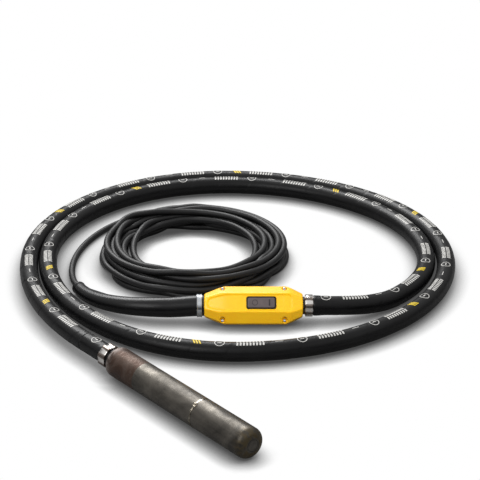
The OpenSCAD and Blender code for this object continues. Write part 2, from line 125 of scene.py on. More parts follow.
class Shader:
    """A node material under construction. The methods that add nodes return an output socket,
    and done() returns the material and keeps it in looks under its name."""

    def __init__(self, name):
        self.name = name
        self.material = bpy.data.materials.new(name)
        self.material.use_nodes = True
        self.tree = self.material.node_tree
        self.surface = self.tree.nodes["Principled BSDF"]

    def feed(self, socket, value):
        """Links a socket to the output that is given as its value, or sets it to a plain value."""
        if isinstance(value, bpy.types.NodeSocket):
            self.tree.links.new(value, socket)
        elif socket.type == "RGBA":
            socket.default_value = (*value, 1)
        else:
            socket.default_value = value

    def node(self, kind, inputs=(), out=0, **settings):
        made = self.tree.nodes.new(kind)
        for key, value in settings.items():
            setattr(made, key, value)
        for key, value in dict(inputs).items():
            self.feed(made.inputs[key], value)
        return made.outputs[out]

    def place(self, scale=(1, 1, 1), turn=0.0, source="Object"):
        """Texture coordinates in metres, or (length, turns) along a swept piece with UV."""
        where = self.node("ShaderNodeTexCoord", out=source)
        turned = self.node("ShaderNodeMapping", {"Vector": where, "Rotation": (0, 0, turn)})
        return self.node("ShaderNodeMapping", {"Vector": turned, "Scale": scale})

    def noise(self, vector, scale, detail=4, rough=0.55, distort=0.0):
        return self.node("ShaderNodeTexNoise", {"Vector": vector, "Scale": scale, "Detail": detail,
                                                "Roughness": rough, "Distortion": distort})

    def ramp(self, value, *stops):
        made = self.tree.nodes.new("ShaderNodeValToRGB")
        self.tree.links.new(value, made.inputs["Fac"])
        elements = made.color_ramp.elements
        while len(elements) < len(stops):
            elements.new(0.5)
        for element, (position, colour) in zip(elements, stops):
            element.position = position
            grey = isinstance(colour, (int, float))
            element.color = (colour, colour, colour, 1) if grey else (*colour, 1)
        return made.outputs["Color"]

    def mix(self, factor, first, second):
        """Mixes two colours; the sockets 0, 6 and 7, and output 2, are those of the colour mode."""
        return self.node("ShaderNodeMix", {0: factor, 6: first, 7: second}, 2, data_type="RGBA")

    def maths(self, operation, first, second=0.0):
        return self.node("ShaderNodeMath", {0: first, 1: second}, operation=operation)

    def between(self, value, low, high, new_low=0.0, new_high=1.0):
        return self.node("ShaderNodeMapRange", {"Value": value, "From Min": low, "From Max": high,
                                                "To Min": new_low, "To Max": new_high})

    def axis(self, vector, name):
        return self.node("ShaderNodeSeparateXYZ", {"Vector": vector}, out=name)

    def bump(self, height, distance, strength, normal=None):
        inputs = {"Height": height, "Distance": distance * MM, "Strength": strength}
        if normal is not None:
            inputs["Normal"] = normal
        return self.node("ShaderNodeBump", inputs)

    def done(self, colour, rough, metallic=0.0, normal=None, **others):
        values = {"Base Color": colour, "Roughness": rough, "Metallic": metallic, **others}
        if normal is not None:
            values["Normal"] = normal
        for key, value in values.items():
            self.feed(self.surface.inputs[key], value)
        looks[self.name] = self.material
        return self.material


head_heading = math.atan2(head_dir[1], head_dir[0])


def along_head(shader, scale=(1, 1, 1)):
    """Metres along and across the head, measured from its rear face."""
    where = shader.node("ShaderNodeTexCoord", out="Object")
    moved = shader.node("ShaderNodeVectorMath", {0: where, 1: -head_rear * MM}, operation="ADD")
    turned = shader.node("ShaderNodeMapping", {"Vector": moved, "Rotation": (0, 0, -head_heading)})
    return shader.node("ShaderNodeMapping", {"Vector": turned, "Scale": scale})


def casing_steel(name, tint, dark, end_share=0.0):
    """Ground and heat-mottled steel; end_share adds an olive, rusty tint towards the tip."""
    s = Shader(name)
    place = along_head(s)
    blotch = s.noise(along_head(s, (0.6, 1, 1)), 20, detail=5, rough=0.6, distort=0.8)
    grain = s.noise(along_head(s, (12, 1, 1)), 190, detail=3)
    streak = s.noise(along_head(s, (1, 9, 9)), 16, detail=4)
    base = s.ramp(blotch, (0.34, dark), (0.52, tint), (0.68, [c * 1.7 for c in tint]))
    tone = s.mix(s.between(streak, 0.35, 0.7, 0, 0.4), base, [c * 1.7 for c in tint])
    near_end = s.between(s.axis(place, "X"), 0.372, 0.397)
    patches = s.between(streak, 0.42, 0.56, 0.2 * end_share, end_share)
    tinted = s.mix(s.maths("MULTIPLY", near_end, patches), tone, (0.115, 0.085, 0.038))
    fine = s.mix(s.between(grain, 0.4, 0.75, 0, 0.3), tinted, (0.035, 0.032, 0.03))
    rough = s.between(s.noise(place, 60, detail=5), 0.3, 0.7, 0.36, 0.54)
    return s.done(fine, rough, 0.85, s.bump(grain, 0.035, 0.5, s.bump(blotch, 0.5, 0.3)))


def burnt_steel():
    """Heat-tinted rear section: brown and violet, scuffed pale at its rear edge."""
    s = Shader("burnt_steel")
    place = along_head(s)
    cloud = s.noise(place, 26, detail=5, rough=0.6, distort=0.8)
    speck = s.noise(along_head(s, (3, 1, 1)), 120, detail=5, rough=0.65)
    base = s.ramp(cloud, (0.28, (0.032, 0.022, 0.019)), (0.5, (0.070, 0.041, 0.029)),
                  (0.72, (0.120, 0.088, 0.072)))
    rusty = s.mix(s.between(speck, 0.5, 0.7, 0, 0.4), base, (0.095, 0.048, 0.032))
    edge = s.between(s.axis(place, "X"), 0.020, 0.002)
    scuff = s.maths("MULTIPLY", edge, s.between(speck, 0.42, 0.6))
    worn = s.mix(scuff, rusty, (0.42, 0.38, 0.36))
    rough = s.between(speck, 0.3, 0.7, 0.38, 0.62)
    return s.done(worn, rough, 0.7, s.bump(speck, 0.08, 0.5))


def weld_metal():
    s = Shader("weld_metal")
    place = along_head(s)
    cloud = s.noise(place, 150, detail=4)
    colour = s.ramp(cloud, (0.3, (0.10, 0.085, 0.068)), (0.55, (0.27, 0.24, 0.19)),
                    (0.8, (0.62, 0.58, 0.50)))
    return s.done(colour, s.between(cloud, 0.3, 0.7, 0.3, 0.18), 0.95, s.bump(cloud, 0.15, 0.6))


def rubber(name, colour, rough, dust, shine):
    """Moulded or wrapped rubber with faint flow marks along the piece."""
    s = Shader(name)
    along = s.noise(s.place((3, 4, 1), source="UV"), 6, detail=4)
    fine = s.noise(s.place((1, 0.12, 1), source="UV"), 900, detail=3)
    cloud = s.noise(s.place(), 14, detail=4)
    base = s.mix(s.between(along, 0.35, 0.7), colour, [c + 0.005 for c in colour])
    dusty = s.mix(s.between(cloud, 0.5, 0.75, 0, dust), base, (0.12, 0.115, 0.11))
    gloss = s.between(along, 0.3, 0.7, rough - 0.05, rough + 0.07)
    return s.done(dusty, gloss, 0, s.bump(fine, 0.05, 0.4), **{"Specular IOR Level": shine})


def plain_rubber(name, colour, rough):
    s = Shader(name)
    fine = s.noise(s.place(), 700, detail=3)
    cloud = s.noise(s.place(), 60, detail=4)
    base = s.mix(s.between(cloud, 0.4, 0.7), colour, [c * 1.8 for c in colour])
    return s.done(base, s.between(fine, 0.3, 0.7, rough - 0.06, rough + 0.08), 0,
                  s.bump(fine, 0.05, 0.4))


def print_ink(name, colour):
    """Printed ink, slightly worn and rubbed by the concrete."""
    s = Shader(name)
    rub = s.noise(s.place(), 260, detail=5, rough=0.7)
    worn = s.mix(s.between(rub, 0.58, 0.75, 0, 0.6), colour, (0.05, 0.05, 0.05))
    return s.done(worn, s.between(rub, 0.3, 0.7, 0.4, 0.6), 0, s.bump(rub, 0.03, 0.4))


def brushed(name, colour, rough, turn=0.0):
    """Metal with fine lines that run round the X axis; turn takes that axis to the head's."""
    s = Shader(name)
    lines = s.noise(s.place((14, 1, 1), turn), 420, detail=4, rough=0.6)
    cloud = s.noise(s.place(), 40, detail=4)
    base = s.mix(s.between(lines, 0.35, 0.7), [c * 0.86 for c in colour], colour)
    spotted = s.mix(s.between(cloud, 0.45, 0.75, 0, 0.15), base, [c * 0.6 for c in colour])
    gloss = s.between(lines, 0.3, 0.7, rough - 0.04, rough + 0.05)
    return s.done(spotted, gloss, 1.0, s.bump(lines, 0.015, 0.4))


def crimped_steel():
    """Ferrule steel with a painted highlight on each of its eight flats and brownish painted shade
    at the corners between them.
    """
    s = Shader("crimp_steel")
    place = s.place(source="UV")
    lines = s.noise(s.place((1, 30, 30)), 30, detail=4)
    cloud = s.noise(s.place(), 90, detail=4)
    # painted highlight on each flat and painted shade at the corners between flats, with a little
    # random tone mixed in
    turns = s.maths("COSINE", s.maths("MULTIPLY", s.axis(place, "Y"), 8 * TAU))
    painted_flat_highlight = s.maths("ADD", turns, s.between(cloud, 0.3, 0.7, -0.25, 0.25))
    base = s.mix(s.between(painted_flat_highlight, -0.35, 0.35), (0.20, 0.165, 0.145), (0.86, 0.83, 0.80))
    fine = s.mix(s.between(lines, 0.45, 0.75, 0, 0.25), base, (0.35, 0.31, 0.29))
    return s.done(fine, s.between(lines, 0.3, 0.7, 0.16, 0.26), 1.0, s.bump(lines, 0.01, 0.4))


def shell_plastic():
    """Yellow moulded plastic with a fine spark-eroded grain and faint handling marks."""
    s = Shader("shell_plastic")
    grain = s.node("ShaderNodeTexVoronoi", {"Vector": s.place(), "Scale": 1500})
    cloud = s.noise(s.place(), 18, detail=4)
    smudge = s.noise(s.place((1, 3, 3)), 45, detail=5, rough=0.6)
    base = s.mix(s.between(cloud, 0.35, 0.7), (0.97, 0.51, 0.004), (1.0, 0.57, 0.008))
    marked = s.mix(s.between(smudge, 0.55, 0.8, 0, 0.12), base, (0.55, 0.30, 0.02))
    rough = s.between(smudge, 0.35, 0.7, 0.30, 0.42)
    return s.done(marked, rough, 0, s.bump(grain, 0.03, 0.35),
                  **{"Specular IOR Level": 0.5, "Subsurface Weight": 0.05,
                     "Subsurface Scale": 0.002, "Coat Weight": 0.15, "Coat Roughness": 0.25})


def moulded(name, colour, rough):
    """Plain technical plastic with a fine moulded grain."""
    s = Shader(name)
    grain = s.node("ShaderNodeTexVoronoi", {"Vector": s.place(), "Scale": 1200})
    cloud = s.noise(s.place(), 70, detail=4)
    base = s.mix(s.between(cloud, 0.4, 0.7), colour, [c * 1.25 for c in colour])
    return s.done(base, s.between(cloud, 0.3, 0.7, rough - 0.05, rough + 0.06), 0,
                  s.bump(grain, 0.02, 0.5))


def coil_copper():
    """Enamelled copper wire laid along the slots."""
    s = Shader("winding_copper")
    wires = s.node("ShaderNodeTexWave", {"Vector": s.place(turn=-head_heading), "Scale": 520},
                   bands_direction="Y")
    cloud = s.noise(s.place(), 90)
    base = s.mix(s.between(cloud, 0.35, 0.7), (0.42, 0.15, 0.05), (0.65, 0.28, 0.10))
    return s.done(base, s.between(wires, 0, 1, 0.25, 0.4), 0.9, s.bump(wires, 0.2, 0.6))


def laminated_iron():
    """Stack of thin punched sheets."""
    s = Shader("motor_iron")
    sheets = s.node("ShaderNodeTexWave", {"Vector": along_head(s), "Scale": 320})
    cloud = s.noise(s.place(), 50)
    base = s.mix(s.between(cloud, 0.35, 0.7), (0.20, 0.21, 0.23), (0.34, 0.35, 0.37))
    return s.done(base, s.between(cloud, 0.3, 0.7, 0.35, 0.5), 0.9, s.bump(sheets, 0.1, 0.6))


casing_tones = ((0.100, 0.091, 0.078), (0.040, 0.037, 0.033))
casing_steel("head_steel", *casing_tones)
casing_steel("tip_section_steel", *casing_tones, end_share=0.75)
casing_steel("tip_steel", (0.100, 0.092, 0.080), (0.048, 0.044, 0.038))
burnt_steel()
weld_metal()
rubber("hose_rubber", (0.0030, 0.0030, 0.0034), 0.37, dust=0.03, shine=0.25)
rubber("sleeve_rubber", (0.003, 0.003, 0.0035), 0.33, dust=0.02, shine=0.34)
rubber("cable_rubber", (0.0065, 0.0065, 0.007), 0.47, dust=0.05, shine=0.42)
plain_rubber("seal_rubber", (0.012, 0.012, 0.012), 0.45)
print_ink("ink_white", (0.66, 0.65, 0.62))
print_ink("ink_yellow", (0.85, 0.62, 0.02))
crimped_steel()
brushed("zinc_steel", (0.72, 0.75, 0.78), 0.26)
brushed("screw_steel", (0.80, 0.82, 0.85), 0.16)
brushed("bearing_steel", (0.60, 0.61, 0.62), 0.18, -head_heading)
brushed("cage_brass", (0.72, 0.50, 0.20), 0.30, -head_heading)
brushed("weight_steel", (0.36, 0.33, 0.30), 0.38, -head_heading)
shell_plastic()
moulded("black_plastic", (0.014, 0.013, 0.013), 0.35)
moulded("rocker_plastic", (0.165, 0.130, 0.130), 0.38)
moulded("mark_plastic", (0.040, 0.030, 0.032), 0.5)
coil_copper()
laminated_iron()


# ---- meshes ----
# A solid is a tuple of points in millimetres, faces, and UVs of the faces' corners or None.
def linked(thing):
    bpy.context.scene.collection.objects.link(thing)
    return thing


def mesh_object(name, points, faces):
    mesh = bpy.data.meshes.new(name)
    mesh.from_pydata((np.asarray(points) * MM).tolist(), [], [tuple(f) for f in faces])
    return linked(bpy.data.objects.new(name, mesh))


def add_piece(name, solid, look, body, node):
    """Makes a smooth-shaded piece on its body, in place of a CAD node if one is named. Its
    material slot has the name of its look."""
    points, faces, uvs = solid
    piece = mesh_object(name, points, faces)
    mesh = piece.data
    if uvs is not None:
        layer = mesh.uv_layers.new(name="along")
        layer.data.foreach_set("uv", np.asarray(uvs, np.float32).ravel())
    mesh.polygons.foreach_set("use_smooth", [True] * len(mesh.polygons))
    mesh.materials.append(looks[look])
    mesh.update()
    if body:
        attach(piece, body)
    if node:
        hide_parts(node)
    return piece


def add_sharp(name, solid, look, body, node=None, degrees=40):
    """Adds a piece that keeps the edges that are sharper than degrees."""
    piece = add_piece(name, solid, look, body, node)
    piece.data.set_sharp_from_angle(angle=math.radians(degrees))
    return piece


class Path:
    """A centre line with a level side vector; at(s) also works a little beyond its ends."""

    def __init__(self, points):
        self.points = np.asarray(points, float)
        step = np.linalg.norm(np.diff(self.points, axis=0), axis=1)
        self.s = np.concatenate([[0], np.cumsum(step)])
        self.length = self.s[-1]
        ahead = np.gradient(self.points, self.s, axis=0)
        self.ahead = ahead / np.linalg.norm(ahead, axis=1)[:, None]

    def at(self, s):
        s = np.asarray(s, float)
        inside = np.clip(s, 0, self.length)
        point = np.stack([np.interp(inside, self.s, self.points[:, i]) for i in range(3)], -1)
        ahead = np.stack([np.interp(inside, self.s, self.ahead[:, i]) for i in range(3)], -1)
        ahead /= np.linalg.norm(ahead, axis=-1)[..., None]
        point = point + ahead * (s - inside)[..., None]
        side = np.cross([0, 0, 1.0], ahead)
        side /= np.linalg.norm(side, axis=-1)[..., None]
        return point, side, np.cross(ahead, side)


SHARPNESS = 60          # of the corners between the flat sides of polygon_rim and case_loft


def polygon_rim(angle, count):
    """Radius of a round-cornered polygon whose flats are at distance 1."""
    total = 0
    for i in range(count):
        total = total + np.maximum(0, np.cos(angle - TAU * i / count)) ** SHARPNESS
    return total ** (-1 / SHARPNESS)


def skin(rings, run, closed=False):
    """Solid between rings of points. A closed one joins its last ring to its first, and others
    are capped. run is the length coordinate of each ring, in metres."""
    count, sides = rings.shape[:2]
    faces = []
    uvs = []
    for i in range(count if closed else count - 1):
        j = (i + 1) % count
        run_j = run[j] if j else run[i] + 0.01
        for k in range(sides):
            k2 = (k + 1) % sides
            faces.append((i * sides + k, i * sides + k2, j * sides + k2, j * sides + k))
            low, high = k / sides, (k + 1) / sides
            uvs += [(run[i], low), (run[i], high), (run_j, high), (run_j, low)]
    if not closed:
        last = (count - 1) * sides
        faces.append(tuple(range(sides - 1, -1, -1)))
        faces.append(tuple(last + k for k in range(sides)))
        uvs += [(run[0], 0)] * sides + [(run[-1], 0)] * sides
    return rings.reshape(-1, 3), faces, uvs


def round_angles(sides):
    """Angles round a path, from its underside; a quarter turn is its top."""
    return -TAU / 4 + TAU * np.arange(sides) / sides


def rings_along(path, s, radius, sides):
    centre, side, up = path.at(s)
    angle = round_angles(sides)
    radius = np.asarray(radius, float)
    if radius.ndim < 2:
        radius = radius[..., None] * np.ones((len(s), sides))
    cosine, sine = np.cos(angle)[None, :, None], np.sin(angle)[None, :, None]
    out = cosine * side[:, None] + sine * up[:, None]
    return centre[:, None] + radius[..., None] * out


def revolve(path, profile, sides, flats=0):
    """Closed solid turned round a path. profile lists [s, radius] or [s, radius, polygon share],
    outside first with s growing, then back along the inside."""
    profile = [tuple(p) + (0,) * (3 - len(p)) for p in profile]
    s = np.array([p[0] for p in profile])
    radius = np.array([p[1] for p in profile])[:, None] * np.ones(sides)
    if flats:
        share = np.array([p[2] for p in profile])[:, None]
        radius = radius * (1 - share + share * polygon_rim(round_angles(sides), flats))
    run = np.concatenate([[0], np.cumsum(np.hypot(np.diff(s), np.diff(radius[:, 0])))]) * MM
    return skin(rings_along(path, s, radius, sides), run, closed=True)


def rod(path, s, radius, sides):
    """Capped solid along a path; radius is one number per ring, or one per ring and side."""
    return skin(rings_along(path, s, radius, sides), np.asarray(s) * MM)


def ease(t):
    return t * t * (3 - 2 * t)


def step_up(value, low, high):
    return ease(np.clip((value - low) / (high - low), 0, 1))


def ahead(place, run, t):
    x, y, z, heading = place
    radius, amount, rise = run
    z = z + rise * ease(t)
    if radius == 0:
        return (x + amount * t * math.cos(heading), y + amount * t * math.sin(heading), z, heading)
    turned = heading + math.copysign(math.radians(amount) * t, radius)
    return (x + radius * (math.sin(turned) - math.sin(heading)),
            y - radius * (math.cos(turned) - math.cos(heading)), z, turned)


def walk(place, runs, spacing):
    """Points about every spacing millimetres along runs, and the place where they end."""
    points = [place]
    for run in runs:
        length = run[1] if run[0] == 0 else abs(run[0]) * math.radians(run[1])
        count = max(1, round(length / spacing))
        points += [ahead(place, run, (i + 1) / count) for i in range(count)]
        place = points[-1]
    return [p[:3] for p in points], place


def joined(parts):
    """Puts several (points, faces, uvs) solids into one."""
    points, faces, uvs = [], [], []
    for more_points, more_faces, more_uvs in parts:
        offset = sum(len(p) for p in points)
        points.append(np.asarray(more_points))
        faces += [tuple(i + offset for i in f) for f in more_faces]
        uvs += list(more_uvs)
    return np.concatenate(points), faces, uvs


# ---- protection hose ----
WRAP_LEAD = 68          # one turn of the cloth that the hose was wrapped in
BEND_HALF = 22          # the bend reaches this far to both sides of the flex point
HOSE_SIDES = 36
HOSE_STEP = 1.9         # between the rings of the hose's mesh


def hose_runs():
    lead_angle = math.degrees(head_heading) + 180 - 90
    axis_z = case_pos[2]
    runs = [(0, HOSE_LEAD - FLEX_BACK, 0), (-HOSE_BEND_R, lead_angle, HOSE_R - HEAD_R)]
    runs += [(-r, ARC, 0) for r in OUTER_TURN + CROSS_TURN]
    runs += [(-(r - HOSE_PITCH), ARC, 0) for r in OUTER_TURN]
    runs += [(-END_TURN[0], ARC, 0), (-END_TURN[1], ARC, axis_z - HOSE_R), (0, CASE_STRAIGHT, 0)]
    return runs


def flare(s):
    """How much the hose swells where it leaves the housing's ferrule."""
    back = hose_path.length - s
    return 1.2 * step_up(back, FERRULE_LEN, FERRULE_LEN + 2) * step_up(-back, -43, -19)


def hose_radius(s):
    """Radius with the shallow steps that the wrapping cloth leaves, a helix along the hose."""
    turns = np.arange(HOSE_SIDES) / HOSE_SIDES
    phase = (s[:, None] / WRAP_LEAD + turns[None, :]) % 1
    step = 0.28 * (1 - phase) - 0.45 * np.exp(-((phase - 0.985) / 0.02) ** 2)
    wave = 0.15 * np.sin(s[:, None] / 57 + TAU * turns[None, :])
    return HOSE_R - 0.28 + step * 0.9 + wave * 0.6


hose_path = Path(walk((*flex, head_heading + math.pi), hose_runs(), 6)[0])
lead_path = Path([head_rear, head_rear - head_dir * FLEX_BACK, flex - head_dir * BEND_HALF])


def make_hose():
    s = np.append(np.arange(BEND_HALF, hose_path.length - 1, HOSE_STEP), hose_path.length)
    radius = hose_radius(s) + flare(s)[:, None]
    add_piece("hose_loop", rod(hose_path, s, radius, HOSE_SIDES), "hose_rubber", "line",
              "protection_hose")


def blend_at_flex(piece):
    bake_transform(piece)


def make_hose_bend():
    """The short length of hose behind the head, up to a little past the flex point."""
    end = FLEX_BACK + BEND_HALF
    s = np.append(np.arange(0.5, end - 0.5, HOSE_STEP), end)
    radius = hose_radius(FLEX_BACK - s)[:, ::-1]
    blend_at_flex(add_piece("hose_bend", rod(lead_path, s, radius, HOSE_SIDES), "hose_rubber", None,
                            "hose_head_end"))


INK_LIFT = 0.22         # how far the print's face stands above the hose
INK_ROOT = 0.8          # and how far its underside lies below the hose's surface


def on_hose(path, s, w, lift):
    """Point on the hose, w millimetres round it from the top line."""
    centre, side, up = path.at(s)
    angle = TAU / 4 - np.asarray(w) / HOSE_R
    out = np.cos(angle)[..., None] * side + np.sin(angle)[..., None] * up
    return centre + (HOSE_R + lift) * out


def decal(path, s, w, ring=False):
    """Thin closed patch on the hose from a grid of s and w. A ring closes on itself."""
    rows, cols = s.shape
    top = on_hose(path, s, w, INK_LIFT).reshape(-1, 3)
    bottom = on_hose(path, s, w, -INK_ROOT).reshape(-1, 3)
    half = rows * cols
    faces = []

    def wall(a, b):
        faces.append((a + half, b + half, b, a))

    for i in range(rows if ring else rows - 1):
        here, there = i * cols, (i + 1) % rows * cols
        for a, b in zip(range(here, here + cols - 1), range(there, there + cols - 1)):
            faces.append((b, b + 1, a + 1, a))
            faces.append((a + 1 + half, b + 1 + half, b + half, a + half))
        wall(there, here)
        wall(here + cols - 1, there + cols - 1)
    if not ring:
        for j in range(cols - 1):
            wall(j, j + 1)
            wall(half - cols + j + 1, half - cols + j)
    return np.concatenate([top, bottom]), faces, [(0, 0)] * (4 * len(faces))


def bar(path, s0, length, w0, width, slant=0.0):
    s, w = np.meshgrid(np.linspace(0, length, max(3, round(length / 3))),
                       np.linspace(0, width, 5), indexing="ij")
    return decal(path, s0 + s + slant * (w - width / 2), w0 + w)


def ring_mark(path, centre, radius, width):
    """Round ring printed on top of the hose."""
    angle = TAU * np.arange(32) / 32
    radii = radius - width * np.array([[0, 0.5, 1]])
    return decal(path, centre + radii * np.cos(angle)[:, None],
                 radii * np.sin(angle)[:, None], ring=True)


PRINT_PERIOD = 157.35
PRINT_COUNT = 30
LAST_RING_BACK = 40     # the last ring's distance from the hose's end in the housing
STROKES_BACK = 84       # from a ring back to the first stroke before it
DASH_AHEAD = 37         # from a ring on to the dash or the slashes after it


def ring_with_bar(path, at):
    return [ring_mark(path, at, 10, 1.4), bar(path, at - 4, 8, -1.0, 2.0)]


def make_hose_print():
    """Repeats, counted back from the housing: two rows of plain strokes, a ring with a bar, and
    a dash or yellow slashes. The ring nearest to the head lies on the short length behind the head."""
    white, yellow = [], []
    for i in range(PRINT_COUNT):
        ring_at = hose_path.length - LAST_RING_BACK - i * PRINT_PERIOD
        first = ring_at - STROKES_BACK
        after = ring_at + DASH_AHEAD
        white += ring_with_bar(hose_path, ring_at)
        white += [bar(hose_path, first + 6.1 * k, 3.3, row, 7.4, slant=0.08)
                  for row in (-8.6, 0.8) for k in range(9)]
        if i % 3 == 2:
            yellow += [bar(hose_path, after + 5.4 * k, 3.2, -7, 14, slant=-0.5) for k in range(3)]
        elif i:
            white.append(bar(hose_path, after, 15, -0.7, 1.4))
    for name, parts in (("white", white), ("yellow", yellow)):
        add_sharp("hose_print_" + name, joined(parts), "ink_" + name, "line")
    near_head = FLEX_BACK + hose_path.length - LAST_RING_BACK - PRINT_COUNT * PRINT_PERIOD
    blend_at_flex(add_sharp("hose_print_bend", joined(ring_with_bar(lead_path, near_head)),
                            "ink_white", None))


# ---- supply cable ----
COIL_CENTRE = np.array([-91.0, 196.0])
# Each coil turn: its radius at the back, right, front and left, and its height at the back. The
# lead-in starts below the top turn, so that the top turn lies over it.
COIL_TURNS = [
    (158, 160, 162, 174, 24), (170, 180, 162, 184, 47), (160, 150, 158, 166, 46),
    (182, 188, 170, 150, 45), (155, 131, 158, 127, 34), (172, 166, 172, 178, 36),
    (190, 174, 146, 160, 33), (166, 156, 180, 188, 25), (180, 142, 136, 140, 24),
    (196, 184, 162, 170, 20), (176, 160, 186, 152, 14), (188, 192, 150, 192, 12),
    (200, 172, 180, 180, 6.5), (178, 150, 136, 162, 6.5)
]
LAST_RADII = [186, 158, 102]
END_STRAIGHT = 66
POINT_SPACING = 7
RADIUS_STEPS = 24       # points between two radii, which are an eighth of a turn apart
SETTLE_STEPS = 300
SMOOTH_UNTIL = 270      # before this step, the drift from home is smoothed more strongly
NEAR_MARGIN = 9         # pairs up to this far from touching are kept until the next search
SEARCH_EVERY = 8
SINK = 0.12             # how far the cable sinks in each step
PULL = (0.02, 0.02, 0.04)
APPROACH = [(-300, 22, CABLE_R - SLEEVE_TIP_Z), (-348, 36.7, 0), (-150, 19.3, 4), (-235, 34, 12)]

cable_side = case_pos[0] - CASE_LEN / 2 - NECK_LEN - NECK_GAP


def sleeve_runs():
    return [(0, 72, -4), (-195, 68, SLEEVE_TIP_Z - case_pos[2] + 4)]


def smooth_through(values, count):
    """Catmull-Rom curve through values, count steps per interval."""
    v = np.asarray(values, float)
    v = np.concatenate([[2 * v[0] - v[1]], v, [2 * v[-1] - v[-2]]])
    t = (np.arange(count) / count).reshape((-1,) + (1,) * (v.ndim - 1))
    out = []
    for i in range(1, len(v) - 2):
        a, b, c, d = v[i - 1:i + 3]
        out.append(0.5 * (2 * b + (c - a) * t + (2 * a - 5 * b + 4 * c - d) * t ** 2
                          + (3 * b - a - 3 * c + d) * t ** 3))
    return np.concatenate(out + [v[-2:-1]])


def coil_home():
    """Loosely wandering turns, clockwise from the back of the first turn to the free end."""
    radii = [r for turn in COIL_TURNS for r in turn[:4]] + LAST_RADII
    radii = smooth_through(radii, 2)
    radii[1:-4] += rng.normal(0, 1.0, len(radii) - 5)
    radii = smooth_through(radii, RADIUS_STEPS)
    quarter = np.linspace(0, len(COIL_TURNS) * 4 + 2, len(radii))
    angle = TAU / 4 * (1 - quarter)
    flat = COIL_CENTRE + radii[:, None] * np.stack([np.cos(angle), np.sin(angle)], 1)
    heights = [turn[4] for turn in COIL_TURNS] + [CABLE_R]
    height = np.interp(quarter, 4 * np.arange(len(heights)), heights)
    return np.column_stack([flat, height])


def evenly(points, spacing):
    path = Path(points)
    count = round(path.length / spacing)
    return path.at(np.linspace(0, path.length, count + 1))[0]


def settle(home, pinned):
    """Presses the cable's turns apart and down, with as little drift from home as needed."""
    p = home.copy()
    apart = 2 * CABLE_R + 0.3
    neighbours = 6
    still = np.nonzero(pinned)[0]
    for step in range(SETTLE_STEPS):
        if step % SEARCH_EVERY == 0:
            near = np.zeros((len(p), len(p)), np.float32)
            for i in range(3):
                near += np.subtract.outer(p[:, i], p[:, i]).astype(np.float32) ** 2
            a, b = np.nonzero(np.triu(near < (apart + NEAR_MARGIN) ** 2, neighbours))
        p[:, 2] -= SINK
        p += (home - p) * PULL
        drift = p - home
        for _ in range(5 if step < SMOOTH_UNTIL else 1):
            drift[1:-1] += 0.45 * (drift[:-2] + drift[2:] - 2 * drift[1:-1])
        p = home + drift
        for _ in range(3):
            gap = p[b] - p[a]
            length = np.maximum(np.linalg.norm(gap, axis=1), 1e-6)
            push = gap / length[:, None] * (np.maximum(0, apart - length) * 0.5)[:, None]
            touching = (length < apart).astype(float)
            shared = np.bincount(a, touching, len(p)) + np.bincount(b, touching, len(p))
            shared = np.maximum(1, shared * 0.5)
            for i in range(3):
                p[:, i] += (np.bincount(b, push[:, i], len(p))
                            - np.bincount(a, push[:, i], len(p))) / shared
            p[:, 2] = np.maximum(p[:, 2], CABLE_R)
            p[still] = home[still]
    return p


def smooth(line, free, share, times):
    """Moves the free points of a line towards the middle of their neighbours."""
    free = free[1:-1]
    for _ in range(times):
        middle = (line[:-2] + line[2:]) / 2
        line[1:-1][free] += share * (middle - line[1:-1])[free]


def cable_line():
    """Centre line from inside the housing, through the sleeve and the coil, to the free end."""
    start = (cable_side + CABLE_INSIDE, case_pos[1], case_pos[2], math.pi)
    first, place = walk(start, [(0, CABLE_INSIDE, 0)] + sleeve_runs(), 5)
    rest, place = walk(place, APPROACH, 5)
    turns = coil_home()
    last = [cable_tip + [d, 0, 0] for d in np.linspace(END_STRAIGHT, 0, 12)]
    half_turn = turns[:4 * RADIUS_STEPS]
    joins = np.nonzero(half_turn[:, 0] > place[0] + 25)[0][0]
    home = evenly(np.concatenate([first, rest[1:-3], turns[joins:-14], last]), POINT_SPACING)
    along = np.arange(len(home)) * POINT_SPACING
    inside = Path(first).length
    smooth(home, (along > inside + 40) & (along < along[-1] - END_STRAIGHT), 0.5, 20)
    pinned = (along < inside + 15) | (along > along[-1] - END_STRAIGHT + 4)
    line = settle(home, pinned)
    smooth(line, ~pinned, 0.3, 7)
    line[:, 2] = np.maximum(line[:, 2], CABLE_R)
    return Path(smooth_through(line, 2))


def make_cable():
    path = cable_line()
    s = np.linspace(0, path.length, round(path.length / 3.4))
    add_piece("supply_lead", rod(path, s, np.full(len(s), CABLE_R), 16), "cable_rubber", "line",
              "supply_cable")


# ---- bend sleeve, bands and ferrules ----
def make_sleeve():
    """Tapered rubber sleeve with a rolled rim round its open end."""
    path = Path(walk((cable_side, case_pos[1], case_pos[2], math.pi), sleeve_runs(), 4)[0])
    length = path.length
    taper = [(s, SLEEVE_R + (SLEEVE_TIP_R - SLEEVE_R) * (s / length) ** 1.3)
             for s in np.linspace(0, length - 9, 66)]
    rim = [(length - 4.5 + 4.2 * math.cos(a), 11.3 + 2.5 * math.sin(a))
           for a in np.linspace(math.radians(165), math.radians(-60), 12)]
    bore = [(length - 12, 8.2), (length * 0.5, 10.5), (20, 15.2), (0, 15.2)]
    add_piece("bend_relief", revolve(path, taper + rim + bore, 40), "sleeve_rubber", "line",
              "bend_sleeve")


behind_head = Path([head_rear, head_rear - head_dir * 30])
along_the_head = Path([head_rear, head_rear + head_dir * HEAD_LEN])
case_right = Path([case_pos, case_pos + [CASE_LEN, 0, 0]])
case_left = Path([case_pos, case_pos - [CASE_LEN, 0, 0]])


